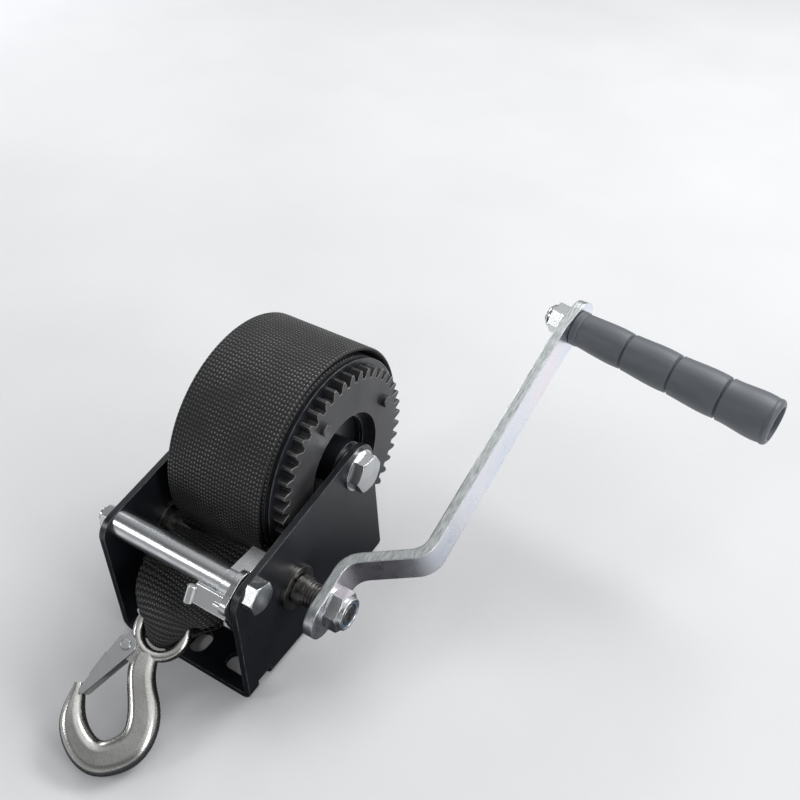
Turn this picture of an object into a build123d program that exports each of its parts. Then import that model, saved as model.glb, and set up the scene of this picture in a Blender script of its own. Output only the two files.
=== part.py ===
from build123d import *
import math
import os

# Hand winch for a boat trailer: a folded steel frame with a webbing drum, a spur gear pair, a hand
# crank, a ratchet pawl and a webbing tail with a slip hook.
# X runs along the shafts and the crank is on the +X side, Y points to the rear, Z is up.
# The origin is on the underside of the base, midway between the side plates, below the drum axle.

# ---------------------------------------------------------------- driving dimensions (mm, degrees)
WEB_WIDTH = 50.0
WEB_THICK = 1.9
WEB_MIDDLE = -1.3
TAIL_BENDS = [40, 3.6]
NECK_WIDTH = 27.0

SHEET = 3.0
INSIDE = 69.0
BASE_FRONT = -87.0
BASE_REAR = 17.0
PLATE_FRONT_TOP = 68.5
PLATE_REAR_RADIUS = 12.0
MOUNT_HOLE_R = 4.5
MIDDLE_SLOT = 12.0
FRONT_HOLE_Y = -76.0
REAR_HOLE_X = 20.0
REAR_HOLE_Y = 4.0

DRUM_Z = 69.6
AXLE_D = 10.0
ROLL_R = 51.7
CORE_R = 24.0
CORE_WALL = 2.5
FLANGE_R = 48.9
FLANGE_SHEET = 1.6
HUB_R = 11.0
HUB_BORE_R = 8.0
HUB_LEFT = -29.2
HUB_RIGHT = 31.2
RIVET_R = 2.8
RIVET_PITCH_R = 35.3
RIVET_ANGLE = 23.5
RIVET_END = 33.2

MODULE = 2.0
GEAR_TEETH = 44
PINION_TEETH = 14
GEAR_FACE = 5.0
GEAR_X = 25.8
GEAR_HOLE_R = 25.0
PINION_X = 26.2
PINION_FACE = 5.6
PINION_ADDENDUM = 1.9
PRESSURE_ANGLE = 20.0
BACKLASH = 0.30

SHAFT_D = 11.0
SHAFT_Y = -50.4
BUSH_R = 8.0
BUSH_COLLAR_R = 10.5
BUSH_COLLAR = 2.4
THREAD_R = 4.9
STUD_END = 66.4

TIE_Y = -76.5
TIE_Z = 63.6
TIE_D = 8.0
TIE_END_D = 6.0
TUBE_OD = 12.7
TUBE_ID = 8.4
TUBE_END = 25.6

PAWL_BUSH_R = 5.6
PAWL_HUB_R = 7.2
PAWL_LEFT = 26.0
PAWL_RIGHT = 34.1
FINGER_END = -58.9
LEG_END = (-83.2, 44.6)

ARM_ANGLE = 18.8
ARM_WIDTH = 20.0
ARM_THICK = 4.5
ARM_INNER_X = 53.2
ARM_REACH = 174.4
ARM_OUTER_X = 83.2
ARM_SPLAY_AT = 165.0
ARM_END_SPLAY = 7.4
ARM_OVERRUN = 3.4
ARM_LOW_OVERRUN = 6.0
SQUARE = 8.4

GRIP_LENGTH = 102.0
GRIP_BOLT_D = 8.0
GRIP_SEGMENTS = 4

HOOK_SLOPE = 26.0
HOOK_ROLL = 15.0
EYE_X = 0.0
EYE_Y = -95.1
EYE_Z = 32.0
EYE_R = 10.3
EYE_BAR = 4.6
EYE_DEEP = 7.0
LATCH_U = -9.7
LATCH_V = 11.6
LATCH_TIP = (-15.5, 36.0)
LATCH_PIN_R = 1.6
CHEEK_GAP = 3.7
CHEEK = 0.9

FIT_GAP = 0.05

# ---------------------------------------------------------------- derived dimensions
HALF_IN = INSIDE / 2
HALF_OUT = HALF_IN + SHEET
ROLL_LEFT = WEB_MIDDLE - WEB_WIDTH / 2
ROLL_RIGHT = WEB_MIDDLE + WEB_WIDTH / 2
GEAR_END = GEAR_X + GEAR_FACE
GEAR_PITCH_R = MODULE * GEAR_TEETH / 2
PINION_PITCH_R = MODULE * PINION_TEETH / 2
CENTRES = GEAR_PITCH_R + PINION_PITCH_R
SHAFT_Z = DRUM_Z - math.sqrt(CENTRES ** 2 - SHAFT_Y ** 2)
MESH_ANGLE = math.degrees(math.atan2(SHAFT_Z - DRUM_Z, SHAFT_Y))
UPRIGHT = (Align.CENTER, Align.CENTER, Align.MIN)


# ---------------------------------------------------------------- helpers
def save(shape, name):
    """Write one node as parts/NAME.step."""
    shape.label = name
    export_step(shape, f"parts/{name}.step")


def rod(radius, x0, x1, y=0.0, z=0.0):
    """A round bar along X from x0 to x1, centred on (y, z)."""
    return Pos((x0 + x1) / 2, y, z) * Rot(0, 90, 0) * Cylinder(radius, abs(x1 - x0))


def sleeve(outer, inner, x0, x1, y=0.0, z=0.0):
    """A round tube along X."""
    return rod(outer, x0, x1, y, z) - rod(inner, min(x0, x1) - 1, max(x0, x1) + 1, y, z)


def hexagon(flats, x0, x1, y=0.0, z=0.0, turn=0.0):
    """A hexagonal bar along X with its corners slightly turned off at the outer end x1."""
    height = abs(x1 - x0)
    block = extrude(RegularPolygon(flats / math.sqrt(3), 6, rotation=turn), height)
    cone = Cone(flats / math.sqrt(3) + height * 1.7, flats / 2 + 0.2, height, align=UPRIGHT)
    block = block & cone
    side = 90 if x1 > x0 else -90
    return Pos(x0, y, z) * Rot(0, side, 0) * block


def side_plane(x=0.0):
    """A plane at the given X whose local x is +Y and local y is +Z; it extrudes towards +X."""
    return Plane(origin=(x, 0, 0), x_dir=(0, 1, 0), z_dir=(1, 0, 0))


def side_prism(face, x0, x1):
    """Extrude a face drawn as (Y, Z) from x0 to x1."""
    return extrude(side_plane(x0) * face, x1 - x0)


def hull_of_discs(discs):
    """A face round two discs (y, z, radius), joined by their outer tangents."""
    (y0, z0, r0), (y1, z1, r1) = discs
    along = math.atan2(z1 - z0, y1 - y0)
    spread = math.acos((r0 - r1) / math.hypot(y1 - y0, z1 - z0))
    corners = []
    for y, z, r, side in ((y0, z0, r0, 1), (y1, z1, r1, 1), (y1, z1, r1, -1), (y0, z0, r0, -1)):
        angle = along + side * spread
        corners.append((y + r * math.cos(angle), z + r * math.sin(angle)))
    bridge = make_face(Polyline(*corners, close=True))
    return bridge + Pos(y0, z0) * Circle(r0) + Pos(y1, z1) * Circle(r1)


def involute(angle):
    return math.tan(angle) - angle


def gear_face(teeth, addendum, dedendum, first_tooth):
    """The outline of a spur gear with involute flanks, as (Y, Z) round the origin."""
    pressure = math.radians(PRESSURE_ANGLE)
    pitch_r = MODULE * teeth / 2
    base_r = pitch_r * math.cos(pressure)
    root_r = pitch_r - dedendum
    tip_r = pitch_r + addendum
    half_at_pitch = math.pi / (2 * teeth) - BACKLASH / (2 * pitch_r)
    flank_steps = 4
    start_r = max(base_r, root_r)
    flank = [(root_r, half_at_pitch + involute(pressure))] if root_r < base_r else []
    for step in range(flank_steps + 1):
        radius = start_r + (tip_r - start_r) * step / flank_steps
        at_radius = math.acos(min(1.0, base_r / radius))
        flank.append((radius, half_at_pitch + involute(pressure) - involute(at_radius)))
    points = []
    for tooth in range(teeth):
        middle = math.radians(first_tooth) + 2 * math.pi * tooth / teeth
        for radius, half in flank:
            points.append((radius * math.cos(middle - half), radius * math.sin(middle - half)))
        for radius, half in reversed(flank):
            points.append((radius * math.cos(middle + half), radius * math.sin(middle + half)))
    return make_face(Polyline(*points, close=True))


# ---------------------------------------------------------------- frame and its fasteners
def frame():
    """The side plates and the base, folded from one sheet."""
    bend = 2.0 + SHEET
    height = 90.0
    outer = Pos(0, height / 2) * Rectangle(2 * HALF_OUT, height)
    outer = fillet(outer.vertices().group_by(Axis.Y)[0], bend)
    inner = Pos(0, SHEET + height / 2) * Rectangle(INSIDE, height)
    inner = fillet(inner.vertices().group_by(Axis.Y)[0], bend - SHEET)
    section = Plane.XZ.offset(-BASE_REAR) * (outer - inner)
    channel = extrude(section, BASE_REAR - BASE_FRONT)

    slope = (DRUM_Z + PLATE_REAR_RADIUS - PLATE_FRONT_TOP) / (0.0 - BASE_FRONT)
    lean = math.atan(slope)
    rise = PLATE_REAR_RADIUS * math.sqrt(1 + slope ** 2)
    corner = (BASE_FRONT, DRUM_Z + rise + slope * BASE_FRONT)
    outline = make_face(
        Polyline(
            (BASE_FRONT, 0),
            corner,
            (-PLATE_REAR_RADIUS * math.sin(lean), DRUM_Z + PLATE_REAR_RADIUS * math.cos(lean)),
            (0, DRUM_Z),
            (PLATE_REAR_RADIUS, DRUM_Z),
            (BASE_REAR, 5.0),
            (BASE_REAR - 4.0, 0),
            close=True,
        )
    )
    outline = fillet(outline.vertices().sort_by_distance(corner)[0], 9.0)
    outline = outline + Pos(0, DRUM_Z) * Circle(PLATE_REAR_RADIUS)
    body = channel & side_prism(outline, -50, 50)

    body -= rod(AXLE_D / 2 + 0.25, -50, 50, 0, DRUM_Z)
    body -= rod(TIE_D / 2 + 0.25, -50, 50, TIE_Y, TIE_Z)
    body -= rod(BUSH_R, -50, 50, SHAFT_Y, SHAFT_Z)
    body -= base_slots()
    return body


def base_slots():
    """The mounting slots: one in the middle, two across the bends at the front, two at the rear."""
    slot = Rot(0, 0, 90) * SlotOverall(MIDDLE_SLOT, 2 * MOUNT_HOLE_R)
    cuts = [Pos(0, FRONT_HOLE_Y, 0) * extrude(slot, 20, both=True)]
    for side in (-1, 1):
        across = Box(30, 2 * MOUNT_HOLE_R, 14)
        across = fillet(across.edges().filter_by(Axis.Z), MOUNT_HOLE_R - 0.1)
        cuts.append(Pos(side * (16 + 15), FRONT_HOLE_Y, 0) * across)
        cuts.append(Pos(side * REAR_HOLE_X, REAR_HOLE_Y, 0) * Cylinder(MOUNT_HOLE_R, 20))
    return cuts


def bolt(flats, head, diameter, x_head, x_end, y, z, turn):
    """A hexagon-head bolt whose head stands on x_head and whose end is at x_end."""
    shank = rod(diameter / 2, x_end, x_head + 0.5, y, z)
    shank = chamfer(shank.edges().group_by(Axis.X)[0], diameter * 0.1)
    return shank + hexagon(flats, x_head, x_head + head, y, z, turn)


def nut(flats, bore, x0, x1, y, z, turn):
    """A hexagon nut from its seat x0 to its outer face x1."""
    low, high = min(x0, x1) - 1, max(x0, x1) + 1
    return hexagon(flats, x0, x1, y, z, turn) - rod(bore, low, high, y, z)


def tie_parts():
    """The tie bolt across the front of the frame, with its spacer tube, nut and pawl bush."""
    tie = bolt(13.0, 5.5, TIE_D, HALF_OUT, -HALF_OUT + 0.4, TIE_Y, TIE_Z, 12)
    spigot = rod(TIE_END_D / 2, -HALF_OUT - 7.6, -HALF_OUT + 1.5, TIE_Y, TIE_Z)
    save(tie + chamfer(spigot.edges().group_by(Axis.X)[0], 0.6), "tie_bolt")
    save(nut(10.0, TIE_END_D / 2, -HALF_OUT, -HALF_OUT - 4.4, TIE_Y, TIE_Z, 20), "tie_bolt_nut")
    save(sleeve(TUBE_OD / 2, TUBE_ID / 2, -HALF_IN, TUBE_END, TIE_Y, TIE_Z), "spacer_tube")
    save(sleeve(PAWL_BUSH_R, TUBE_ID / 2, TUBE_END, HALF_IN, TIE_Y, TIE_Z), "pawl_bush")


def axle_parts():
    """The fixed drum axle bolt with its nut, washers and the spacers beside the drum."""
    head_seat = HALF_OUT + 1.2
    save(bolt(16.0, 5.4, AXLE_D, head_seat, -HALF_OUT - 11.5, 0, DRUM_Z, 25), "drum_axle_bolt")
    save(nut(16.0, AXLE_D / 2, -HALF_OUT - 1.2, -HALF_OUT - 9.4, 0, DRUM_Z, 8), "drum_axle_nut")
    washers = Part() + [
        sleeve(10.0, AXLE_D / 2 + 0.1, HALF_OUT, head_seat, 0, DRUM_Z),
        sleeve(10.0, AXLE_D / 2 + 0.1, -head_seat, -HALF_OUT, 0, DRUM_Z),
    ]
    save(washers, "axle_washers")
    spacers = Part() + [
        sleeve(7.5, AXLE_D / 2 + 0.1, HUB_RIGHT + 0.4, HALF_IN, 0, DRUM_Z),
        sleeve(7.5, AXLE_D / 2 + 0.1, -HALF_IN, HUB_LEFT - 0.4, 0, DRUM_Z),
    ]
    save(spacers, "axle_spacers")


# ---------------------------------------------------------------- drum
def drum_parts():
    """The drum: core, hub, two flanges, gear, rivets, bushes, webbing anchor and the wound webbing."""
    flange_left = ROLL_LEFT - 0.3
    flange_right = GEAR_X
    core = sleeve(CORE_R, CORE_R - CORE_WALL, flange_left, flange_right - FLANGE_SHEET, 0, DRUM_Z)
    save(core - anchor_hole(), "drum_core")

    hub = sleeve(HUB_R, HUB_BORE_R, HUB_LEFT, HUB_RIGHT, 0, DRUM_Z)
    for x in (-20.0, 19.0):
        hub += sleeve(CORE_R - CORE_WALL, HUB_BORE_R, x, x + 2.0, 0, DRUM_Z)
    save(hub, "drum_hub")

    left = sleeve(FLANGE_R, HUB_R, flange_left - FLANGE_SHEET, flange_left, 0, DRUM_Z)
    save(left, "left_flange")
    right = sleeve(FLANGE_R, CORE_R - CORE_WALL, flange_right - FLANGE_SHEET, flange_right, 0, DRUM_Z)
    save(right - rivet_set(), "right_flange")

    outline = gear_face(GEAR_TEETH, MODULE, 1.25 * MODULE, MESH_ANGLE) - Circle(GEAR_HOLE_R)
    save(side_prism(Pos(0, DRUM_Z) * outline, GEAR_X, GEAR_END) - rivet_set(), "drum_gear")
    save(Part() + rivet_set(), "gear_rivets")

    bushes = Part() + [
        sleeve(HUB_BORE_R, AXLE_D / 2 + FIT_GAP, HUB_LEFT, HUB_LEFT + 14, 0, DRUM_Z),
        sleeve(HUB_BORE_R, AXLE_D / 2 + FIT_GAP, HUB_RIGHT - 14, HUB_RIGHT, 0, DRUM_Z),
    ]
    save(bushes, "drum_bushes")
    save(anchor_bolt(), "web_anchor_bolt")
    save(sleeve(ROLL_R, CORE_R, ROLL_LEFT, ROLL_RIGHT, 0, DRUM_Z) - anchor_bolt(), "webbing_roll")


def rivet_set():
    """Four rivets that hold the gear to the right flange."""
    rivets = []
    for quarter in range(4):
        angle = math.radians(RIVET_ANGLE + 90 * quarter)
        y = RIVET_PITCH_R * math.cos(angle)
        z = DRUM_Z + RIVET_PITCH_R * math.sin(angle)
        stud = rod(RIVET_R, GEAR_X - FLANGE_SHEET, RIVET_END, y, z)
        rivets.append(chamfer(stud.edges().group_by(Axis.X)[-1], 0.4))
    return rivets


def anchor_hole():
    """The hole through the core wall for the webbing anchor."""
    return Pos(WEB_MIDDLE, 0, DRUM_Z + CORE_R) * Cylinder(3.0, 3 * CORE_WALL)


def anchor_bolt():
    """The button-head bolt that clamps the inner end of the webbing to the core."""
    shank = Pos(WEB_MIDDLE, 0, DRUM_Z + CORE_R - 2.2) * Cylinder(3.0, 8.0)
    head = Pos(WEB_MIDDLE, 0, DRUM_Z + CORE_R + 2.6) * Cylinder(5.5, 3.0)
    locknut = Pos(WEB_MIDDLE, 0, DRUM_Z + CORE_R - 6.0) * extrude(RegularPolygon(5.8, 6), 2.4)
    return shank + head + locknut


# ---------------------------------------------------------------- pinion shaft and crank
def shaft_parts():
    """The pinion shaft with its pinion, bushes, clip and spacer."""
    bore = SHAFT_D / 2 + FIT_GAP
    inner, outer = HALF_IN - BUSH_COLLAR, HALF_OUT + BUSH_COLLAR
    for name, side, seat in (("left_shaft_bush", -1, inner), ("right_shaft_bush", 1, HALF_OUT)):
        barrel = sleeve(BUSH_R, bore, side * inner, side * outer, SHAFT_Y, SHAFT_Z)
        collar_end = side * (seat + BUSH_COLLAR)
        collar = sleeve(BUSH_COLLAR_R, bore, side * seat, collar_end, SHAFT_Y, SHAFT_Z)
        save(barrel + collar, name)

    shaft = rod(SHAFT_D / 2, -42.5, 41.0, SHAFT_Y, SHAFT_Z)
    shaft += rod(6.9, 40.5, 45.0, SHAFT_Y, SHAFT_Z)
    for ring in range(5):
        x = 45.0 + 1.6 * ring
        shaft += rod(5.9, x, x + 1.1, SHAFT_Y, SHAFT_Z)
    shaft += rod(5.2, 44.0, ARM_INNER_X, SHAFT_Y, SHAFT_Z)
    arm_outer = ARM_INNER_X + ARM_THICK
    square = Rot(ARM_ANGLE, 0, 0) * Box(ARM_THICK, SQUARE, SQUARE)
    square = Pos(arm_outer - ARM_THICK / 2, SHAFT_Y, SHAFT_Z) * square
    shaft += square & rod(5.2, 50, 60, SHAFT_Y, SHAFT_Z)
    stud = rod(THREAD_R, arm_outer, STUD_END, SHAFT_Y, SHAFT_Z)
    shaft += chamfer(stud.edges().group_by(Axis.X)[-1], 0.9)
    groove = sleeve(SHAFT_D / 2 + 1, SHAFT_D / 2 - 0.8, -41.3, -40.2, SHAFT_Y, SHAFT_Z)
    shaft -= groove
    save(shaft, "pinion_shaft")

    gap_to_gear = MESH_ANGLE - 180 + 180.0 / PINION_TEETH
    outline = gear_face(PINION_TEETH, PINION_ADDENDUM, 1.25 * MODULE, gap_to_gear)
    outline = Pos(SHAFT_Y, SHAFT_Z) * (outline - Circle(SHAFT_D / 2))
    save(side_prism(outline, PINION_X, PINION_X + PINION_FACE), "pinion")

    clip = sleeve(8.0, SHAFT_D / 2 - 0.8, -41.3, -40.2, SHAFT_Y, SHAFT_Z)
    clip -= Pos(-41, SHAFT_Y, SHAFT_Z - 8) * Box(4, 5.0, 10)
    save(clip, "shaft_clip")


def arm_point(along, x):
    """A point on the arm's middle line: distance along the arm from the shaft, and X."""
    angle = math.radians(ARM_ANGLE)
    return Vector(x, SHAFT_Y + along * math.cos(angle), SHAFT_Z + along * math.sin(angle))


def crank_arm():
    """The flat bar with its two joggle bends and a slight splay at the grip end."""
    near = ARM_INNER_X + ARM_THICK / 2
    far = ARM_OUTER_X + ARM_THICK / 2
    splay = math.tan(math.radians(ARM_END_SPLAY))
    middle = [(-20, near), (18.3, near), (36.2, far), (ARM_SPLAY_AT, far)]
    middle.append((ARM_SPLAY_AT + 30, far + 30 * splay))
    bend_r = 11.0
    profile = strip(middle, [bend_r, bend_r, 40.0], ARM_THICK)
    angle = math.radians(ARM_ANGLE)
    along = (0, math.cos(angle), math.sin(angle))
    plane = Plane(origin=(0, SHAFT_Y, SHAFT_Z), x_dir=along, z_dir=(0, math.sin(angle), -math.cos(angle)))
    bar = extrude(plane * profile, ARM_WIDTH, both=True)
    half = ARM_WIDTH / 2
    outline = hull_of_discs([(-ARM_LOW_OVERRUN, 0, half), (ARM_REACH + ARM_OVERRUN, 0, half)])
    bar = bar & extrude(Plane(origin=(40, SHAFT_Y, SHAFT_Z), x_dir=along, z_dir=(1, 0, 0)) * outline, 60)
    hole = Box(20, SQUARE + 0.2, SQUARE + 0.2) & Rot(0, 90, 0) * Cylinder(5.3, 20)
    bar -= Pos(ARM_INNER_X, SHAFT_Y, SHAFT_Z) * Rot(ARM_ANGLE, 0, 0) * hole
    bar -= GRIP_FRAME * Pos(0, 0, -10) * Cylinder(GRIP_BOLT_D / 2 + 0.2, 30)
    return bar


def strip(points, radii, thick):
    """A strip of even thickness whose middle line runs through points, with a radius at each bend."""
    sides = []
    for side in (1, -1):
        shifted, bends = [], []
        for index, point in enumerate(points):
            here = Vector(*point)
            last = len(points) - 1
            before = (here - Vector(*points[max(index - 1, 0)])).normalized() if index else None
            after = (Vector(*points[index + 1]) - here).normalized() if index < last else before
            before = before or after
            turn = before.cross(after).Z
            normal = Vector(-before.Y - after.Y, before.X + after.X).normalized()
            mitre = thick / 2 / math.cos(math.asin(turn) / 2)
            shifted.append(here + normal * side * mitre)
            if 0 < index < last:
                bends.append(radii[index - 1] - side * math.copysign(thick / 2, turn))
        sides.append(FilletPolyline(*shifted, radius=bends))
    ends = [Line(sides[0] @ place, sides[1] @ place).edge() for place in (0, 1)]
    return make_face(Wire([*sides[0].edges(), *sides[1].edges(), *ends]))


def grip_frame():
    """The place where the grip stands on the arm; local Z runs along the grip."""
    splay = math.radians(ARM_END_SPLAY)
    angle = math.radians(ARM_ANGLE)
    far = ARM_OUTER_X + ARM_THICK / 2
    middle = arm_point(ARM_REACH, far + (ARM_REACH - ARM_SPLAY_AT) * math.tan(splay))
    lean = Vector(0, math.cos(angle), math.sin(angle))
    normal = Vector(math.cos(splay), 0, 0) - lean * math.sin(splay)
    seat = middle + normal * (ARM_THICK / 2)
    return Plane(origin=seat, z_dir=normal, x_dir=(0, -math.sin(angle), math.cos(angle))).location


GRIP_FRAME = grip_frame()


def crank_parts():
    """The arm with what fastens it to the shaft and what carries the grip."""
    save(crank_arm(), "crank_arm")
    outer = ARM_INNER_X + ARM_THICK
    save(sleeve(9.5, THREAD_R + 0.1, outer, outer + 1.2, SHAFT_Y, SHAFT_Z), "crank_washer")
    hex_end = outer + 1.2 + 5.8
    locknut = nut(16.5, THREAD_R, outer + 1.2, hex_end, SHAFT_Y, SHAFT_Z, 5)
    rim = sleeve(7.4, 6.2, hex_end - 0.6, hex_end + 2.0, SHAFT_Y, SHAFT_Z)
    rim = fillet(rim.edges().filter_by(GeomType.CIRCLE).group_by(Axis.X)[-1], 0.45)
    save(locknut + rim, "crank_nut")
    save(sleeve(6.2, THREAD_R, hex_end, hex_end + 1.7, SHAFT_Y, SHAFT_Z), "crank_nut_insert")

    bolt_length = GRIP_LENGTH + ARM_THICK + 6.0
    shank = Pos(0, 0, -ARM_THICK - 11.4) * Cylinder(GRIP_BOLT_D / 2, bolt_length, align=UPRIGHT)
    head = Pos(0, 0, GRIP_LENGTH - 5.4) * extrude(RegularPolygon(6.5 / math.cos(math.pi / 6), 6), 3.6)
    save(GRIP_FRAME * (shank + head), "grip_bolt")

    washer = extrude(Circle(7.6), -1.5)
    hexed = extrude(RegularPolygon(6.6 / math.cos(math.pi / 6), 6, rotation=10), -8.0)
    collar = extrude(Circle(5.9), -10.6)
    collar = fillet(collar.edges().group_by(Axis.Z)[0], 1.6)
    grip_nut = Pos(0, 0, -ARM_THICK) * (washer + hexed + collar)
    save(GRIP_FRAME * (grip_nut - Cylinder(GRIP_BOLT_D / 2, 80)), "grip_nut")


def grip():
    """The moulded grip: four swelling segments between grooves, growing towards the free end."""
    start, bore = 0.4, GRIP_BOLT_D / 2 + FIT_GAP
    pitch = (GRIP_LENGTH - 4.0) / GRIP_SEGMENTS
    with BuildPart() as made:
        with BuildSketch(Plane.XZ):
            with BuildLine():
                line = Polyline((bore, start), (8.8, start), (8.8, 3.2), (8.2, 4.0))
                for segment in range(GRIP_SEGMENTS):
                    z0 = 4.0 + pitch * segment
                    grow = 0.62 * segment
                    low, high = 8.5 + grow, 9.1 + grow
                    last = segment == GRIP_SEGMENTS - 1
                    swell = (high, z0 + pitch * 0.45)
                    crest = (high + 0.15, z0 + pitch * 0.8)
                    lip = (low + 0.5, z0 + pitch - (3.0 if last else 1.2))
                    line = Line(line @ 1, (low, z0 + 0.5))
                    line = Spline(line @ 1, swell, crest, lip)
                    if not last:
                        line = Line(line @ 1, (low - 0.6, z0 + pitch - 0.4))
                recess = GRIP_LENGTH - 5.6
                line = ThreePointArc(line @ 1, (10.6, GRIP_LENGTH - 0.7), (9.2, GRIP_LENGTH))
                line = Polyline(line @ 1, (8.2, GRIP_LENGTH), (7.9, recess), (bore, recess))
                Line(line @ 1, (bore, start))
            make_face()
        revolve(axis=Axis.Z)
    return GRIP_FRAME * made.part


# ---------------------------------------------------------------- pawl
def pawl():
    """The stamped reversible pawl: hub, side plate, two fingers for the pinion and a thumb plate."""
    bore = Pos(TIE_Y, TIE_Z) * Circle(PAWL_BUSH_R + FIT_GAP)
    hub = side_prism(Pos(TIE_Y, TIE_Z) * Circle(PAWL_HUB_R), PAWL_LEFT, PAWL_RIGHT)

    leg_tip = (LEG_END[0], LEG_END[1], 1.9)
    ear_face = hull_of_discs([(TIE_Y, TIE_Z, 8.0), (-86.0, 62.6, 4.0)])
    ear_face += hull_of_discs([(-86.0, 62.6, 4.0), leg_tip])
    ear_face += hull_of_discs([(TIE_Y, TIE_Z, 8.0), leg_tip])
    ear = side_prism(ear_face, PAWL_RIGHT - 3.0, PAWL_RIGHT)

    tip = [(FINGER_END - 1.4, 70.0), (FINGER_END, 68.6), (FINGER_END - 0.4, 66.4)]
    finger_face = make_face(Polyline((-78.0, 70.7), *tip, (-76.0, 66.6), close=True))
    finger = side_prism(finger_face, PAWL_LEFT, PAWL_RIGHT)
    leg = side_prism(hull_of_discs([(-79.6, 58.4, 2.2), leg_tip]), PAWL_LEFT + 1.0, PAWL_RIGHT)

    thumb_face = hull_of_discs([(-84.0, 63.4, 1.1), (-88.4, 57.2, 1.1)])
    thumb = side_prism(thumb_face, 15.6, PAWL_RIGHT - 1.0)
    across = Plane(origin=(14.2, -90.0, 56.6), x_dir=(1, 0, 0), z_dir=(0, 0.578, 0.816))
    roll = fillet(Cylinder(2.2, 7.8, align=UPRIGHT).edges(), 0.5)
    bridge = side_prism(hull_of_discs([(-81.0, 60.6, 1.6), (-86.6, 60.2, 1.6)]), PAWL_LEFT, PAWL_RIGHT)
    body = hub + ear + finger + leg + thumb + across.location * roll + bridge
    return body - side_prism(bore, PAWL_LEFT - 1, PAWL_RIGHT + 1)


# ---------------------------------------------------------------- webbing tail
def hook_frame():
    """The hook's own frame: origin in the eye, local -Y to the bowl, local Z its upper face."""
    slope, roll = math.radians(HOOK_SLOPE), math.radians(HOOK_ROLL)
    to_bowl = Vector(0, -math.cos(slope), -math.sin(slope))
    level = Vector(0, -math.sin(slope), math.cos(slope))
    normal = level * math.cos(roll) + Vector(1, 0, 0) * math.sin(roll)
    right = (to_bowl * -1).cross(normal)
    return Plane(origin=(EYE_X, EYE_Y, EYE_Z), x_dir=right, z_dir=normal)


HOOK = hook_frame()


def webbing_tail():
    """The free webbing from the front of the roll to the sewn loop round the eye of the hook."""
    half = WEB_THICK / 2
    clear = ROLL_R + 0.4 + half
    top = (-clear * math.cos(math.radians(4)), DRUM_Z + clear * math.sin(math.radians(4)))
    points = [top, (-clear - 0.3, 62.0), (-50.2, 48.2), (-70.0, 46.6)]
    path = FilletPolyline(*points, radius=TAIL_BENDS)
    band = side_prism(strip(points, TAIL_BENDS, WEB_THICK), ROLL_LEFT, ROLL_RIGHT)

    end = path @ 1
    along = path % 1
    start = Plane(origin=(WEB_MIDDLE, end.X, end.Y), x_dir=(1, 0, 0), z_dir=(0, along.X, along.Y))
    neck = HOOK * Pos(0, 17.0, 6.9)
    neck_plane = Plane(origin=neck.position, x_dir=HOOK.x_dir, z_dir=HOOK.y_dir * -1)
    gather = loft([start * Rectangle(WEB_WIDTH, WEB_THICK), neck_plane * Rectangle(NECK_WIDTH, 3.4)])
    return band + gather + HOOK * webbing_loop()


def webbing_loop():
    """The folded webbing that drops through the eye and is sewn back under itself (in the hook's frame)."""
    over = [(17.4, 8.6), (8.0, 8.4), (0.5, 6.6), (-4.6, 2.0), (-5.4, -2.4)]
    under = [(-2.4, -6.4), (4.0, -8.6), (18.5, -8.2), (18.5, -4.9), (5.0, -4.9)]
    inside = [(4.4, 0.0), (5.0, 4.9), (17.4, 5.2)]
    outline = make_face(Polyline(*over, *under, *inside, close=True))
    bundle = extrude(Plane.YZ * outline, NECK_WIDTH / 2, both=True)
    keep = Cylinder(6.7, 60)
    for width, from_v in ((15.6, 4.4), (NECK_WIDTH, 9.6)):
        for side in (1, -1):
            keep += Pos(0, from_v + 15, side * (4.6 + 15)) * Box(width, 30, 30)
    return bundle & keep


# ---------------------------------------------------------------- hook
def hook():
    """The forged slip hook: round eye, shank, bowl and point."""
    eye = revolve(Plane.XZ * (Pos(EYE_R, 0) * RectangleRounded(EYE_BAR, EYE_DEEP, 2.1)), Axis.Z)
    sections = [
        (-0.9, 10.6, 9.2, 7.0),
        (1.8, 19.0, 11.6, 8.2),
        (8.2, 27.4, 12.6, 9.0),
        (13.3, 35.4, 13.4, 9.6),
        (14.4, 43.4, 13.8, 10.2),
        (10.4, 51.2, 14.2, 10.6),
        (2.2, 55.9, 13.6, 10.6),
        (-6.6, 53.6, 12.2, 10.2),
        (-13.1, 48.2, 10.6, 9.6),
        (-16.6, 41.4, 7.6, 8.2),
        (-19.4, 34.2, 3.8, 5.4),
    ]
    faces = []
    for index, (u, v, wide, thick) in enumerate(sections):
        before = sections[max(index - 1, 0)]
        after = sections[min(index + 1, len(sections) - 1)]
        travel = Vector(after[0] - before[0], -(after[1] - before[1]), 0)
        plane = Plane(origin=(u, -v, 0), x_dir=travel.cross(Vector(0, 0, 1)), z_dir=travel)
        faces.append(plane * RectangleRounded(wide, thick, min(wide, thick) * 0.42))
    bowl = loft(faces)
    boss = Pos(LATCH_U, -LATCH_V, 0) * Cylinder(4.0, 6.6)
    neck_face = hull_of_discs([(LATCH_U, -LATCH_V, 4.0), (-1.0, -13.6, 4.4)])
    neck = extrude(Plane.XY.offset(-3.3) * neck_face, 6.6)
    body = eye + bowl + boss + neck
    body -= Pos(LATCH_U, -LATCH_V, 0) * Cylinder(LATCH_PIN_R, 30)
    return HOOK * body


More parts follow.
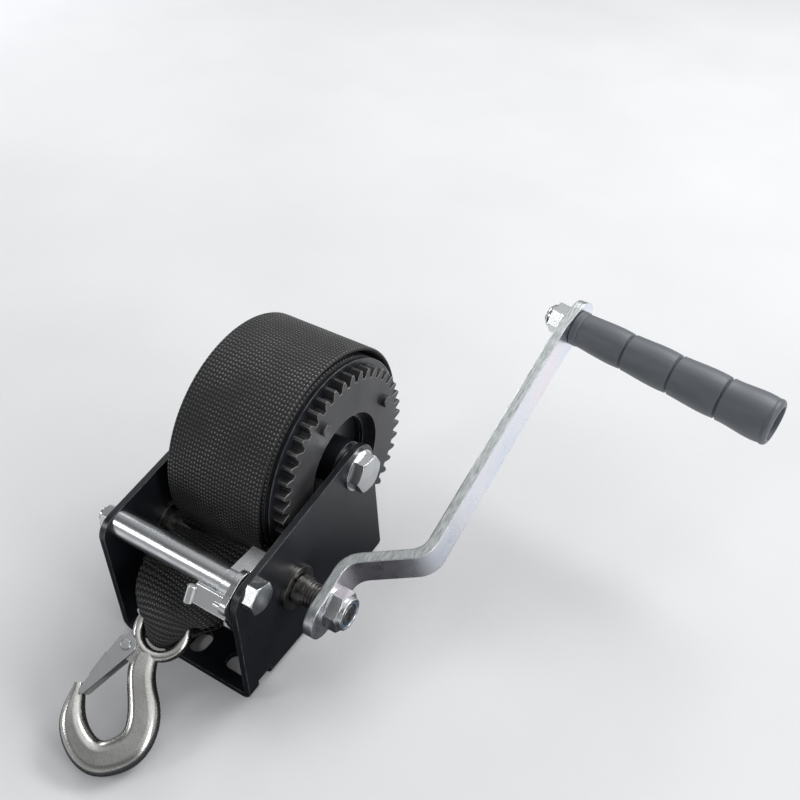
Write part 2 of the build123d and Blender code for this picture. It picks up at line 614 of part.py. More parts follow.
def latch():
    """The folded sheet latch: two cheeks beside the boss and a back web."""
    cheek_face = hull_of_discs([(LATCH_U, -LATCH_V, 4.4), (LATCH_TIP[0], -LATCH_TIP[1], 1.4)])
    cheek_face -= Pos(LATCH_U, -LATCH_V) * Circle(LATCH_PIN_R + FIT_GAP)
    cheeks = extrude(Plane.XY.offset(CHEEK_GAP) * cheek_face, CHEEK)
    cheeks += extrude(Plane.XY.offset(-CHEEK_GAP) * cheek_face, -CHEEK)
    along = Vector(LATCH_TIP[0] - LATCH_U, LATCH_V - LATCH_TIP[1], 0)
    lean = math.degrees(math.atan2(along.Y, along.X))
    web_length = along.length - 14.0
    web = Pos(7.5 + web_length / 2, -3.2, 0) * Rot(0, 0, 6.9)
    web = web * Box(web_length, CHEEK, 2 * CHEEK_GAP + 0.1)
    web = Pos(LATCH_U, -LATCH_V, 0) * Rot(0, 0, lean) * web
    return HOOK * (cheeks + web)


def latch_pin():
    """The latch rivet, with a head on each cheek."""
    stem = Cylinder(LATCH_PIN_R, 2 * (CHEEK_GAP + CHEEK + 0.2))
    head = Pos(0, 0, CHEEK_GAP + CHEEK + 0.2) * Cone(2.5, 2.0, 0.9, align=UPRIGHT)
    return HOOK * Pos(LATCH_U, -LATCH_V, 0) * (stem + head + Rot(180, 0, 0) * head)


def main():
    os.makedirs("parts", exist_ok=True)
    save(frame(), "frame")
    tie_parts()
    axle_parts()
    drum_parts()
    shaft_parts()
    crank_parts()
    save(grip(), "grip")
    save(pawl(), "pawl")
    save(webbing_tail(), "webbing_tail")
    save(hook(), "hook")
    save(latch(), "hook_latch")
    save(latch_pin(), "latch_pin")


main()
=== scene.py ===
import math

import bpy
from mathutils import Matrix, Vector, noise


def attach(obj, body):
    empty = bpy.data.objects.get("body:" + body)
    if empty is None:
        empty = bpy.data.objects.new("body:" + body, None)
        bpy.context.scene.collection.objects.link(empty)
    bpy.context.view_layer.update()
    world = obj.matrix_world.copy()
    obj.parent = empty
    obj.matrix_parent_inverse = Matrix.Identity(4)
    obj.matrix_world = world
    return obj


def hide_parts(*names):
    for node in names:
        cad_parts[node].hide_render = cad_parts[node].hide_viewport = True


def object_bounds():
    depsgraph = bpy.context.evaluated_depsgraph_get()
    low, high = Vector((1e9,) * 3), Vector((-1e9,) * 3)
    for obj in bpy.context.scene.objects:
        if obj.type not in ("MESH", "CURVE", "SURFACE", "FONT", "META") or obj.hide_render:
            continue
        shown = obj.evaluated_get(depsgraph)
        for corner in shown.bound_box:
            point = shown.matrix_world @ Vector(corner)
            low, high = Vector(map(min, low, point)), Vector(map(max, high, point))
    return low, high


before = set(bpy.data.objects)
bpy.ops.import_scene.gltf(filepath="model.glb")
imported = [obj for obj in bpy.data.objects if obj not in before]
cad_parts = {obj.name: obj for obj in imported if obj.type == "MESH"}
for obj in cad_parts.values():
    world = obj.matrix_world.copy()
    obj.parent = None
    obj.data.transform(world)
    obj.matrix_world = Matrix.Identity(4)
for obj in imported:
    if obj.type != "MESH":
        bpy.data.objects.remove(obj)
cad_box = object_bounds()

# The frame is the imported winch, in metres: X along the shafts with the crank on the +X side, Y to the
# rear, Z up. Shapes below are worked out in millimetres and scaled by MM as their mesh is made. The camera,
# the lights and the materials are in metres.
MM = 0.001

# ---------------------------------------------------------------- driving values
FRAME_BODY = "frame"
DRUM_BODY = "drum"
DRUM_Z = 69.6
TIE_Y = -76.5
TIE_Z = 63.6
CRANK_SLOPE = math.radians(18.8)

# The strap: its section and weave, then the radii of the roll, from its core to the outermost turn.
STRAP_WIDTH = 50.0
STRAP_THICK = 1.9
STRAP_MIDDLE = -1.3
RIBS = 32
PICK_PITCH = 2.0
CORE_R = 24.0
WRAP_R = 50.95
TAIL_R = 53.0
LAYERS_R = 49.8

# The hook's eye, as the CAD places it: its centre and its own axes.
EYE = Vector((0.0, -95.1, 32.0))
HOOK_SLOPE = math.radians(26.0)
HOOK_ROLL = math.radians(15.0)


def hook_axes():
    """The hook's axes: x across, y from the bowl to the strap, z out of its upper face."""
    to_bowl = Vector((0, -math.cos(HOOK_SLOPE), -math.sin(HOOK_SLOPE)))
    level = Vector((0, -math.sin(HOOK_SLOPE), math.cos(HOOK_SLOPE)))
    normal = level * math.cos(HOOK_ROLL) + Vector((1, 0, 0)) * math.sin(HOOK_ROLL)
    return (-to_bowl).cross(normal), -to_bowl, normal


HOOK_X, HOOK_Y, HOOK_Z = hook_axes()


def at_hook(x, y, z):
    """A point given in the hook's own axes, in the frame's millimetres."""
    return EYE + HOOK_X * x + HOOK_Y * y + HOOK_Z * z


# ---------------------------------------------------------------- camera
def camera():
    """Looks down on the winch from the front right; the distance and target are in metres."""
    azimuth = math.radians(32.23)
    elevation = math.radians(41.07)
    distance = 0.4768
    target = Vector((0.0314, 0.0453, 0.0747))
    across = math.cos(elevation)
    back = Vector((math.sin(azimuth) * across, -math.cos(azimuth) * across, math.sin(elevation)))
    data = bpy.data.cameras.new("camera")
    data.lens = 45.03
    data.sensor_width = 36.0
    data.clip_start = 0.01
    data.clip_end = 20.0
    made = bpy.data.objects.new("camera", data)
    made.location = target + back * distance
    made.rotation_mode = "QUATERNION"
    made.rotation_quaternion = (-back).to_track_quat("-Z", "Y")
    bpy.context.scene.collection.objects.link(made)
    bpy.context.scene.camera = made


# ---------------------------------------------------------------- material helper
def set_stops(node, stops):
    """Gives a colour ramp its (position, grey or colour) stops."""
    elements = node.color_ramp.elements
    while len(elements) < len(stops):
        elements.new(0.5)
    for element, (position, shade) in zip(elements, stops):
        rgb = shade if isinstance(shade, tuple) else (shade,) * 3
        element.position = position
        element.color = (*rgb, 1.0)


class Finish:
    """A Principled material and short calls that add nodes to it. Scales are per metre."""

    def __init__(self, name, **sockets):
        self.material = bpy.data.materials.new(name)
        self.material.use_nodes = True
        self.tree = self.material.node_tree
        self.shader = self.tree.nodes["Principled BSDF"]
        for socket, value in sockets.items():
            self.shader.inputs[socket.replace("_", " ")].default_value = value
        coordinates = self.node("ShaderNodeTexCoord")
        self.place = coordinates.outputs["Object"]
        self.uv = coordinates.outputs["UV"]
        self.facing = coordinates.outputs["Normal"]
        self.relief = None

    def node(self, kind, **settings):
        made = self.tree.nodes.new(kind)
        for setting, value in settings.items():
            setattr(made, setting, value)
        return made

    def put(self, value, socket):
        """Links an output, or sets a plain value."""
        if isinstance(value, bpy.types.NodeSocket):
            self.tree.links.new(value, socket)
        else:
            socket.default_value = value

    def math(self, operation, a, b=0.0, c=0.5):
        made = self.node("ShaderNodeMath", operation=operation)
        for value, socket in zip((a, b, c), made.inputs):
            self.put(value, socket)
        return made.outputs[0]

    def dot(self, a, b):
        made = self.node("ShaderNodeVectorMath", operation="DOT_PRODUCT")
        self.put(a, made.inputs[0])
        self.put(b, made.inputs[1])
        return made.outputs["Value"]

    def stretched(self, x, y, z):
        """Object coordinates scaled on each axis."""
        made = self.node("ShaderNodeMapping")
        self.put(self.place, made.inputs["Vector"])
        made.inputs["Scale"].default_value = (x, y, z)
        return made.outputs[0]

    def noise(self, scale, detail=3.0, roughness=0.55, vector=None):
        made = self.node("ShaderNodeTexNoise")
        self.put(vector or self.place, made.inputs["Vector"])
        made.inputs["Scale"].default_value = scale
        made.inputs["Detail"].default_value = detail
        made.inputs["Roughness"].default_value = roughness
        return made.outputs["Fac"]

    def ramp(self, fac, *stops):
        """A smooth step through (position, grey or colour) stops."""
        made = self.node("ShaderNodeValToRGB")
        self.put(fac, made.inputs[0])
        set_stops(made, stops)
        return made.outputs["Color"]

    def mix(self, fac, a, b):
        """Goes from colour a to colour b."""
        made = self.node("ShaderNodeMix", data_type="RGBA")
        self.put(fac, made.inputs[0])
        for value, socket in ((a, made.inputs[6]), (b, made.inputs[7])):
            self.put((*value, 1.0) if isinstance(value, tuple) else value, socket)
        return made.outputs[2]

    def split(self, vector):
        made = self.node("ShaderNodeSeparateXYZ")
        self.put(vector, made.inputs[0])
        return made.outputs

    def edges(self, radius, low, high):
        """From 0 on a flat face to 1 on an edge, by how far a bevelled normal turns."""
        rounded = self.node("ShaderNodeBevel", samples=6)
        rounded.inputs["Radius"].default_value = radius
        sharp = self.node("ShaderNodeNewGeometry")
        alike = self.dot(rounded.outputs[0], sharp.outputs["Normal"])
        return self.ramp(self.math("SUBTRACT", 1.0, alike), (low, 0.0), (high, 1.0))

    def bump(self, height, depth, strength=1.0, rounding=None):
        """Adds a relief of the given depth in metres; rounding softens the sharp edges."""
        made = self.node("ShaderNodeBump")
        made.inputs["Strength"].default_value = strength
        made.inputs["Distance"].default_value = depth
        self.put(height, made.inputs["Height"])
        if self.relief:
            self.put(self.relief, made.inputs["Normal"])
        elif rounding:
            rounded = self.node("ShaderNodeBevel", samples=6)
            rounded.inputs["Radius"].default_value = rounding
            self.put(rounded.outputs[0], made.inputs["Normal"])
        self.relief = made.outputs[0]

    def done(self, colour=None, roughness=None):
        if colour is not None:
            self.put(colour, self.shader.inputs["Base Color"])
        if roughness is not None:
            self.put(roughness, self.shader.inputs["Roughness"])
        if self.relief:
            self.put(self.relief, self.shader.inputs["Normal"])
        return self.material


# ---------------------------------------------------------------- materials
def painted_steel():
    """Black powder coat: a slight orange peel, dusty patches, and edges painted lighter, partly as rubbed
    wear and partly as a painted highlight.
    """
    f = Finish("black_paint", Specular_IOR_Level=0.45, Coat_Weight=0.35, Coat_Roughness=0.22)
    cloud = f.noise(38, 4)
    patchy = f.ramp(f.noise(260, 3), (0.36, 0.15), (0.62, 1.0))
    # Edges painted pale grey in patches: partly rubbed wear, partly a painted highlight on the sharp plate
    # edges.
    edge_wear_and_highlight = f.math("MULTIPLY", f.edges(0.0007, 0.02, 0.22), patchy)
    base = f.ramp(cloud, (0.3, (0.0065, 0.0075, 0.010)), (0.7, (0.012, 0.0132, 0.017)))
    dust = f.ramp(f.noise(950, 2), (0.62, 0.0), (0.78, 0.5))
    base = f.mix(dust, base, (0.035, 0.037, 0.041))
    colour = f.mix(edge_wear_and_highlight, base, (0.20, 0.21, 0.225))
    rough = f.ramp(cloud, (0.3, 0.27), (0.7, 0.40))
    f.bump(f.noise(620, 2), 0.00010, 0.35, rounding=0.0005)
    return f.done(colour, rough)


def gear_steel():
    """Blackened steel with stamped faces: oily, with tooth edges painted bright, partly as rubbed wear and
    partly as a painted highlight.
    """
    f = Finish("black_gear", Specular_IOR_Level=0.6, Metallic=0.55)
    cloud = f.noise(60, 4)
    drag = f.noise(1.0, 3, vector=f.stretched(160, 2600, 2600))
    patchy = f.ramp(f.noise(420, 3), (0.30, 0.35), (0.6, 1.0))
    # Edges painted pale grey in patches: partly rubbed wear, partly a painted highlight on the tooth lands.
    edge_wear_and_highlight = f.math("MULTIPLY", f.edges(0.0006, 0.02, 0.20), patchy)
    base = f.ramp(cloud, (0.3, (0.040, 0.040, 0.042)), (0.7, (0.088, 0.088, 0.090)))
    scuff = f.ramp(drag, (0.62, 0.0), (0.80, 0.6))
    colour = f.mix(edge_wear_and_highlight, f.mix(scuff, base, (0.13, 0.13, 0.13)), (0.46, 0.45, 0.43))
    rough = f.ramp(cloud, (0.3, 0.30), (0.72, 0.46))
    f.bump(f.noise(700, 3), 0.00010, 0.4, rounding=0.0004)
    f.bump(drag, 0.00005, 0.4)
    return f.done(colour, rough)


def zinc(name, dull, bright, low, high, grain=1500.0):
    """Zinc plate: cloudy tone and gloss, a fine pitted grain and light handling scratches."""
    f = Finish(name, Metallic=1.0)
    cloud = f.noise(120, 5)
    streak = f.noise(1.0, 2, vector=f.stretched(5200, 260, 700))
    scratched = f.ramp(streak, (0.56, 0.0), (0.80, 0.35))
    colour = f.mix(scratched, f.ramp(cloud, (0.28, dull), (0.72, bright)), (0.42, 0.43, 0.44))
    rough = f.ramp(cloud, (0.25, high), (0.75, low))
    f.bump(f.noise(grain, 3), 0.00004, 0.45, rounding=0.0004)
    f.bump(streak, 0.00003, 0.35)
    return f.done(colour, rough)


def crank_plate():
    """Blue-passivated zinc on the flat bar: lavender, rose and pale blue bands, with sheared edges."""
    f = Finish("blue_zinc", Metallic=1.0)
    drift = f.noise(26, 3)
    tint = f.ramp(drift, (0.30, (0.80, 0.86, 0.96)), (0.46, (0.90, 0.90, 0.97)),
                  (0.58, (0.95, 0.88, 0.93)), (0.72, (0.88, 0.88, 0.95)))
    up = f.dot(f.facing, (0, -math.sin(CRANK_SLOPE), math.cos(CRANK_SLOPE)))
    side = f.ramp(f.math("ABSOLUTE", up), (0.55, 0.0), (0.85, 1.0))
    sheared = f.noise(1.0, 3, vector=f.stretched(2400, 240, 240))
    edge_colour = f.ramp(sheared, (0.35, (0.40, 0.43, 0.43)), (0.62, (0.74, 0.77, 0.77)))
    rough = f.mix(side, f.ramp(f.noise(180, 4), (0.3, 0.24), (0.7, 0.36)), (0.36, 0.36, 0.36))
    f.bump(f.math("MULTIPLY", sheared, side), 0.00016, 0.6, rounding=0.0009)
    f.bump(f.noise(900, 3), 0.00004, 0.35)
    return f.done(f.mix(side, tint, edge_colour), rough)


def forged_hook():
    """Satin zinc over a forging: warm grey, speckled, a little darker in the hollows."""
    f = Finish("hook_zinc", Metallic=1.0)
    cloud = f.noise(90, 4)
    speck = f.noise(1500, 3)
    base = f.ramp(cloud, (0.3, (0.58, 0.57, 0.54)), (0.7, (0.74, 0.73, 0.70)))
    colour = f.mix(f.ramp(speck, (0.36, 0.45), (0.50, 0.0)), base, (0.38, 0.375, 0.36))
    rough = f.ramp(speck, (0.35, 0.32), (0.65, 0.20))
    f.bump(f.noise(240, 3), 0.00018, 0.3)
    f.bump(speck, 0.00005, 0.4)
    return f.done(colour, rough)


def moulded_grip():
    """Slate-grey moulded plastic: a fine spark-eroded grain, faint flow marks and scuffs."""
    f = Finish("grip_plastic", Specular_IOR_Level=0.5)
    flow = f.noise(1.0, 4, vector=f.stretched(26, 150, 150))
    scuff = f.ramp(f.noise(1.0, 3, vector=f.stretched(900, 120, 300)), (0.66, 0.0), (0.82, 0.5))
    base = f.ramp(flow, (0.3, (0.092, 0.102, 0.114)), (0.7, (0.122, 0.132, 0.145)))
    colour = f.mix(scuff, base, (0.19, 0.20, 0.21))
    rough = f.ramp(flow, (0.3, 0.40), (0.7, 0.52))
    f.bump(f.noise(2600, 2), 0.00005, 0.5, rounding=0.0005)
    return f.done(colour, rough)


def nylon():
    """The blue-grey ring in the crank's locknut."""
    f = Finish("nylon", Specular_IOR_Level=0.45)
    cloud = f.noise(500, 3)
    f.bump(f.noise(1800, 2), 0.00004, 0.4, rounding=0.0003)
    colour = f.ramp(cloud, (0.3, (0.055, 0.085, 0.125)), (0.7, (0.10, 0.135, 0.18)))
    return f.done(colour, f.ramp(cloud, (0.3, 0.38), (0.7, 0.5)))


def oiled_steel():
    """Turned steel under a film of oil: tool rings along X and dark patches."""
    f = Finish("bush_steel", Metallic=1.0)
    rings = f.noise(1.0, 2, vector=f.stretched(4200, 60, 60))
    cloud = f.noise(220, 4)
    colour = f.ramp(cloud, (0.3, (0.10, 0.095, 0.09)), (0.7, (0.34, 0.33, 0.32)))
    f.bump(rings, 0.00005, 0.5, rounding=0.0004)
    return f.done(colour, f.ramp(cloud, (0.3, 0.26), (0.7, 0.42)))


def webbing():
    """Black polyester webbing: warp ribs, broken into floats by the picks, with fine twisted filaments; its
    colour holds painted shade in the gaps and painted glints on the floats.
    """
    f = Finish("webbing", Specular_IOR_Level=0.6, Sheen_Weight=0.03, Sheen_Roughness=0.35)
    across, along, _ = f.split(f.uv)
    rib = f.math("MULTIPLY", across, 1000 * RIBS / STRAP_WIDTH)
    pick = f.math("MULTIPLY", along, 1000 / PICK_PITCH)
    column = f.math("FLOOR", rib)
    pick = f.math("ADD", pick, f.math("MULTIPLY", f.math("FLOORED_MODULO", column, 2.0), 0.16))
    over = f.math("ABSOLUTE", f.math("SINE", f.math("MULTIPLY", rib, math.pi)))
    float_up = f.math("MULTIPLY_ADD", f.math("COSINE", f.math("MULTIPLY", pick, 2 * math.pi)), 0.5, 0.5)
    bulge = f.math("MULTIPLY", f.math("POWER", over, 1.1), f.math("POWER", float_up, 0.7))
    twist = f.math("SINE", f.math("ADD", f.math("MULTIPLY", rib, 24.0), f.math("MULTIPLY", pick, 9.0)))
    # The colour is near black in the gaps between floats as painted shade, and pale grey on the crowns of
    # the floats as a painted glint.
    shade = f.math("MULTIPLY", bulge, f.ramp(f.noise(45, 3), (0.3, 0.75), (0.7, 1.0)))
    colour = f.ramp(shade, (0.0, (0.0025, 0.0028, 0.0035)), (0.50, (0.006, 0.0062, 0.007)),
                    (0.74, (0.045, 0.044, 0.042)), (1.0, (0.38, 0.37, 0.35)))
    rough = f.ramp(bulge, (0.2, 0.62), (0.9, 0.36))
    f.bump(bulge, 0.00050, 0.9)
    f.bump(twist, 0.00003, 0.5)
    return f.done(colour, rough)


# ---------------------------------------------------------------- mesh helpers
def mesh_piece(name, points, faces, material, uvs=None):
    """A smooth-shaded mesh object; points are in millimetres."""
    data = bpy.data.meshes.new(name)
    data.from_pydata([Vector(p) * MM for p in points], [], faces)
    data.validate()
    data.polygons.foreach_set("use_smooth", [True] * len(data.polygons))
    if uvs:
        layer = data.uv_layers.new(name="weave")
        for loop in data.loops:
            layer.data[loop.index].uv = [c * MM for c in uvs[loop.vertex_index]]
    data.materials.append(material)
    made = bpy.data.objects.new(name, data)
    bpy.context.scene.collection.objects.link(made)
    return made


def tube_faces(rings, count):
    """Quads between closed rings of count points, with a face over each end."""
    faces = [tuple(reversed(range(count)))]
    for r in range(rings - 1):
        for c in range(count):
            a, b = r * count + c, r * count + (c + 1) % count
            faces.append((a, b, b + count, a + count))
    faces.append(tuple(range((rings - 1) * count, rings * count)))
    return faces


def catmull(values, t):
    """A smooth curve through the values at whole t; values are numbers or vectors."""
    i = min(int(t), len(values) - 2)
    u = t - i
    p1, p2 = values[i], values[i + 1]
    p0 = values[i - 1] if i else p1 * 2 - p2
    p3 = values[i + 2] if i + 2 < len(values) else p2 * 2 - p1
    return (p1 * 2 + (p2 - p0) * u + (p0 * 2 - p1 * 5 + p2 * 4 - p3) * u * u
            + (p1 * 3 - p0 - p2 * 3 + p3) * u ** 3) * 0.5


# ---------------------------------------------------------------- strap
# The tail's middle line after it leaves the roll: over the pinion shaft, through the eye and back under
# itself. Each row has its place, how far it turns to the hook's axes, the curl of its section (per mm,
# negative with the edges away from the outside) and half of the width that it keeps along that curl.
TAIL = [
    (Vector((-1.3, -53.0, 65.0)), 0.0, 0.000, 25.0),
    (Vector((-1.3, -52.0, 58.5)), 0.0, 0.000, 25.0),
    (Vector((-0.9, -50.6, 52.4)), 0.0, 0.001, 24.7),
    (Vector((-0.1, -51.6, 48.8)), 0.0, -0.002, 24.0),
    (Vector((0.1, -56.6, 47.9)), 0.0, -0.004, 24.0),
    (Vector((-0.5, -63.6, 47.5)), 0.1, -0.004, 24.6),
    (Vector((-0.6, -70.0, 47.0)), 0.3, -0.006, 24.8),
    (Vector((0.2, -76.0, 46.4)), 0.5, -0.010, 24.8),
    (Vector((0.1, -81.2, 45.2)), 0.8, -0.016, 22.8),
    (at_hook(-1.6, 12.8, 7.4), 1.0, -0.026, 19.4),
    (at_hook(-1.5, 9.0, 8.8), 1.0, -0.044, 16.2),
    (at_hook(-1.0, 5.0, 9.3), 1.0, -0.062, 13.2),
    (at_hook(-0.2, 0.6, 8.2), 1.0, -0.085, 11.4),
    (at_hook(0, -3.4, 5.2), 1.0, -0.120, 10.8),
    (at_hook(0, -5.6, 0.8), 1.0, -0.146, 13.6),
    (at_hook(0, -5.4, -3.0), 1.0, -0.144, 13.4),
    (at_hook(0, -2.4, -6.2), 1.0, -0.110, 12.0),
    (at_hook(0, 3.2, -7.2), 1.0, -0.060, 12.5),
    (at_hook(0, 9.0, -7.4), 1.0, -0.025, 16.0),
    (at_hook(0, 14.4, -6.2), 1.0, -0.005, 20.0),
    (Vector((-0.8, -75.6, 39.0)), 0.8, 0.000, 23.0),
    (Vector((-0.8, -70.4, 43.6)), 0.4, 0.000, 24.0),
    (Vector((-0.8, -64.6, 45.2)), 0.1, 0.000, 24.4),
    (Vector((-0.6, -58.6, 45.7)), 0.0, 0.000, 24.4),
]

# The outermost turn, in degrees from the rear: it ends at the front, where the tail leaves.
WRAP_START = -164.0
WRAP_END = 178.0
WRAP_STEP = 3.0
TAIL_ROW_STEP = 0.125


def wrap_point(angle):
    """The outermost turn: a point at the angle from the rear, in degrees, growing one thickness a turn."""
    share = (angle - WRAP_START) / (WRAP_END - WRAP_START)
    radius = WRAP_R + (TAIL_R - WRAP_R) * share
    turn = math.radians(angle)
    return Vector((STRAP_MIDDLE, radius * math.cos(turn), DRUM_Z + radius * math.sin(turn)))


def tail_rows():
    """Rows of (middle, along, across, curl, half width) from the outermost turn to the sewn end."""
    wrap = int((WRAP_END - WRAP_START) / WRAP_STEP) + 1
    stations = [(wrap_point(WRAP_START + WRAP_STEP * i), 0.0, 0.0, STRAP_WIDTH / 2) for i in range(wrap)]
    stations += TAIL
    last = len(stations) - 1
    middles, turned, curls, halves = ([s[i] for s in stations] for i in range(4))
    rows = []
    t = 0.0
    while t <= last:
        ahead = catmull(middles, min(t + 0.05, last))
        behind = catmull(middles, max(t - 0.05, 0))
        along = (ahead - behind).normalized()
        lean = max(0.0, min(1.0, catmull(turned, t)))
        across = Vector((1, 0, 0)).lerp(HOOK_X, lean)
        across = (across - along * across.dot(along)).normalized()
        rows.append((catmull(middles, t), along, across, catmull(curls, t), catmull(halves, t)))
        t += 1.0 if t < wrap - 2 else TAIL_ROW_STEP
    return rows


def strap_section(row, s, lift):
    """A point of the strap: s is the distance from its middle, lift the height over its middle surface."""
    here, along, across, curl, half = row
    normal = along.cross(across)
    reach = s * half / (STRAP_WIDTH / 2)
    if abs(curl) < 1e-5:
        return here + across * reach + normal * lift
    turn = curl * reach
    side, up = math.sin(turn) / curl, (1 - math.cos(turn)) / curl
    return here + across * (side - lift * math.sin(turn)) + normal * (up + lift * math.cos(turn))


def ribbed_strap(name, rows, material, per_rib=4):
    """A closed strap with raised ribs on both faces and rounded selvedges; returns its length too."""
    steps = RIBS * per_rib
    half = STRAP_WIDTH / 2
    selvedge = 1.0
    groove = 0.24
    section = []
    for i in range(steps + 1):
        s = -half + STRAP_WIDTH * i / steps
        edge = max(0.0, (abs(s) - (half - selvedge)) / selvedge)
        thick = STRAP_THICK / 2 * math.sqrt(max(0.0, 1 - edge * edge * 0.96))
        rib = abs(math.sin(math.pi * i / per_rib))
        section.append((s, thick - groove * (1 - rib) * (1 - edge)))
    ring = section + [(s, -lift) for s, lift in reversed(section)]
    points, uvs = [], []
    length = 0.0
    for index, row in enumerate(rows):
        if index:
            length += (row[0] - rows[index - 1][0]).length
        for s, lift in ring:
            points.append(strap_section(row, s, lift))
            uvs.append((s + half, length))
    return mesh_piece(name, points, tube_faces(len(rows), len(ring)), material, uvs), length


def wound_layers(name, material):
    """The wound strap under the outermost turn: one strip along a spiral, with uneven edges."""
    per_turn = 90
    wander = 0.28
    first = CORE_R + STRAP_THICK / 2 + 0.05
    last = LAYERS_R - STRAP_THICK / 2
    turns = (last - first) / STRAP_THICK
    count = int(turns * per_turn)
    half = STRAP_WIDTH / 2
    thick = STRAP_THICK / 2 - 0.03
    right_edge = [(half - 0.7, thick), (half - 0.2, thick * 0.7), (half, 0.0)]
    right_edge += [(s, -lift) for s, lift in reversed(right_edge[:2])]
    ring = [(-s, lift) for s, lift in reversed(right_edge)] + right_edge
    points, uvs = [], []
    length = 0.0
    for i in range(count + 1):
        turn = 2 * math.pi * i / per_turn
        radius = first + STRAP_THICK * i / per_turn
        shift = wander * noise.noise(Vector((i * 0.013, 3.1, 0.0)))
        length += radius * 2 * math.pi / per_turn if i else 0.0
        for s, lift in ring:
            r = radius + lift
            points.append((STRAP_MIDDLE + s + shift, r * math.cos(turn), DRUM_Z + r * math.sin(turn)))
            uvs.append((s + half, length))
    return mesh_piece(name, points, tube_faces(count + 1, len(ring)), material, uvs), length


def straps():
    """The tail with the outermost turn, which stand still, and the layers that turn with the drum."""
    material = webbing()
    tail, length = ribbed_strap("strap_tail", tail_rows(), material)
    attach(tail, FRAME_BODY)
    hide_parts("webbing_tail")

    layers, length = wound_layers("strap_layers", material)
    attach(layers, DRUM_BODY)
    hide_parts("webbing_roll")


# ---------------------------------------------------------------- small steel details
def thread(name, x0, x1, y, z, radius, pitch, material):
    """A rolled thread on a bolt end: a helical ridge of the given radius from x0 to x1."""
    steps = 28
    count = int(abs(x1 - x0) / pitch * steps)
    flank = 0.45 * pitch
    crest = 0.34
    ring = [(-flank, -0.25), (0.0, crest), (flank, -0.25), (0.0, -0.5)]
    points = []
    for i in range(count + 1):
        turn = 2 * math.pi * i / steps
        x = x0 + (x1 - x0) * i / count
        fade = min(1.0, i / 8, (count - i) / 8)
        for dx, dr in ring:
            r = radius + (dr if dr < 0 else dr * fade)
            points.append((x + dx, y + r * math.cos(turn), z + r * math.sin(turn)))
    made = mesh_piece(name, points, tube_faces(count + 1, len(ring)), material)
    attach(made, FRAME_BODY)


def threads(material):
    """The threads between each left nut's outer face and its bolt's tip."""
    thread("tie_bolt_thread", -42.4, -44.6, TIE_Y, TIE_Z, 2.75, 1.0, material)
    thread("axle_bolt_thread", -47.2, -48.4, 0.0, DRUM_Z, 5.0, 1.5, material)


# ---------------------------------------------------------------- stage and light
def stage():
    """A plain pale floor under the winch."""
    f = Finish("floor", Specular_IOR_Level=0.2)
    tone = f.noise(6, 3)
    colour = f.ramp(tone, (0.3, (0.68, 0.685, 0.69)), (0.7, (0.73, 0.732, 0.735)))
    f.bump(f.noise(140, 4), 0.0006, 0.25)
    material = f.done(colour, f.ramp(tone, (0.3, 0.7), (0.7, 0.8)))
    reach = 6000
    corners = [(-reach, -reach, 0), (reach, -reach, 0), (reach, reach, 0), (-reach, reach, 0)]
    floor = mesh_piece("floor", corners, [(0, 1, 2, 3)], material)
    floor.location.z = min(0.0, cad_box[0].z) - 0.0002


def dark_card():
    """A card on the floor that only reflections see, its middle painted dark as the shade around the winch
    and its rim fading to the floor's tone: it gives the metal over it a dark lower side.
    """
    f = Finish("card", Roughness=0.9)
    away = f.node("ShaderNodeVectorMath", operation="LENGTH")
    f.put(f.place, away.inputs[0])
    # Painted shade: dark within 90 mm of the card's middle, fading to the floor's pale tone by its rim.
    shade = f.ramp(away.outputs["Value"], (0.09, (0.035, 0.038, 0.044)), (0.17, (0.70, 0.705, 0.71)))
    count = 48
    radius = 170.0
    turns = [2 * math.pi * i / count for i in range(count)]
    points = [(radius * math.cos(turn), radius * math.sin(turn), 0) for turn in turns]
    card = mesh_piece("card", points, [tuple(range(count))], f.done(shade))
    card.location = (0.0, -0.075, min(0.0, cad_box[0].z) - 0.0001)
    card.visible_camera = False
    card.visible_shadow = False
    card.visible_diffuse = False


def softbox(name, place, size, power, warmth=(1.0, 1.0, 1.0)):
    """A square area light that looks at the winch."""
    data = bpy.data.lights.new(name, "AREA")
    data.shape = "RECTANGLE"
    data.size, data.size_y = size
    data.energy = power
    data.color = warmth
    made = bpy.data.objects.new(name, data)
    made.location = place
    aim = Vector((0.03, 0.02, 0.06)) - Vector(place)
    made.rotation_mode = "QUATERNION"
    made.rotation_quaternion = aim.to_track_quat("-Z", "Y")
    made.visible_camera = False
    bpy.context.scene.collection.objects.link(made)


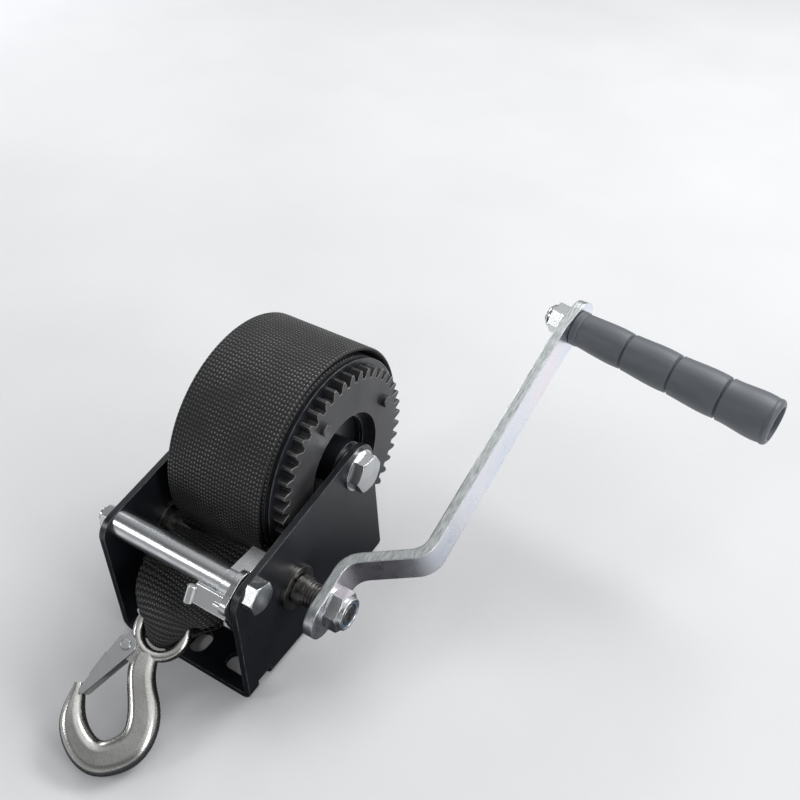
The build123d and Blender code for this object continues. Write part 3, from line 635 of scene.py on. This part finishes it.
def sky():
    """A soft studio dome: bright overhead and behind on the right, dark towards the front left."""
    world = bpy.data.worlds.new("studio")
    bpy.context.scene.world = world
    world.use_nodes = True
    tree = world.node_tree
    background = tree.nodes["Background"]
    place = tree.nodes.new("ShaderNodeTexCoord")
    toward = tree.nodes.new("ShaderNodeVectorMath")
    toward.operation = "DOT_PRODUCT"
    toward.inputs[1].default_value = (0.33, 0.33, 0.88)
    ramp = tree.nodes.new("ShaderNodeValToRGB")
    greys = [(0.0, 0.42), (0.18, 0.22), (0.45, 0.12), (0.64, 0.50), (0.82, 1.15)]
    set_stops(ramp, [(position, (grey, grey * 1.01, grey * 1.03)) for position, grey in greys])
    tree.links.new(place.outputs["Generated"], toward.inputs[0])
    tree.links.new(toward.outputs["Value"], ramp.inputs[0])
    tree.links.new(ramp.outputs[0], background.inputs[0])
    background.inputs["Strength"].default_value = 0.8


def lights():
    """Four soft boxes round the winch under the dome."""
    softbox("key", (0.35, 0.80, 0.95), (0.8, 0.45), 9.0)
    softbox("side", (1.2, -0.25, 0.45), (0.35, 0.8), 5.0, (0.96, 0.98, 1.0))
    softbox("front", (-0.75, -0.9, 0.7), (0.35, 0.35), 2.4)
    softbox("rim", (-0.9, 0.45, 0.5), (0.25, 0.6), 2.4, (0.95, 0.97, 1.0))
    sky()
    bpy.context.scene.view_settings.view_transform = "Standard"


# ---------------------------------------------------------------- finishes on the CAD parts
def finish_nodes():
    """Gives every CAD node its material; returns the bright zinc for the small details."""
    bright = zinc("bright_zinc", (0.60, 0.62, 0.635), (0.80, 0.81, 0.815), 0.16, 0.30)
    satin = zinc("satin_zinc", (0.46, 0.47, 0.47), (0.60, 0.61, 0.61), 0.34, 0.48, 1900.0)
    groups = [
        (painted_steel(), "frame left_flange right_flange drum_core drum_hub"),
        (gear_steel(), "drum_gear gear_rivets pinion"),
        (bright, "tie_bolt tie_bolt_nut drum_axle_bolt drum_axle_nut axle_washers spacer_tube pawl"
                 " crank_nut crank_washer grip_bolt grip_nut shaft_clip latch_pin"),
        (satin, "hook_latch axle_spacers"),
        (crank_plate(), "crank_arm"),
        (forged_hook(), "hook"),
        (moulded_grip(), "grip"),
        (nylon(), "crank_nut_insert"),
        (oiled_steel(), "left_shaft_bush right_shaft_bush pinion_shaft drum_bushes"
                        " web_anchor_bolt pawl_bush"),
    ]
    for material, names in groups:
        for name in names.split():
            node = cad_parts[name]
            node.data.materials.clear()
            node.data.materials.append(material)
    return bright


def main():
    camera()
    bright = finish_nodes()
    straps()
    threads(bright)
    stage()
    dark_card()
    lights()


main()
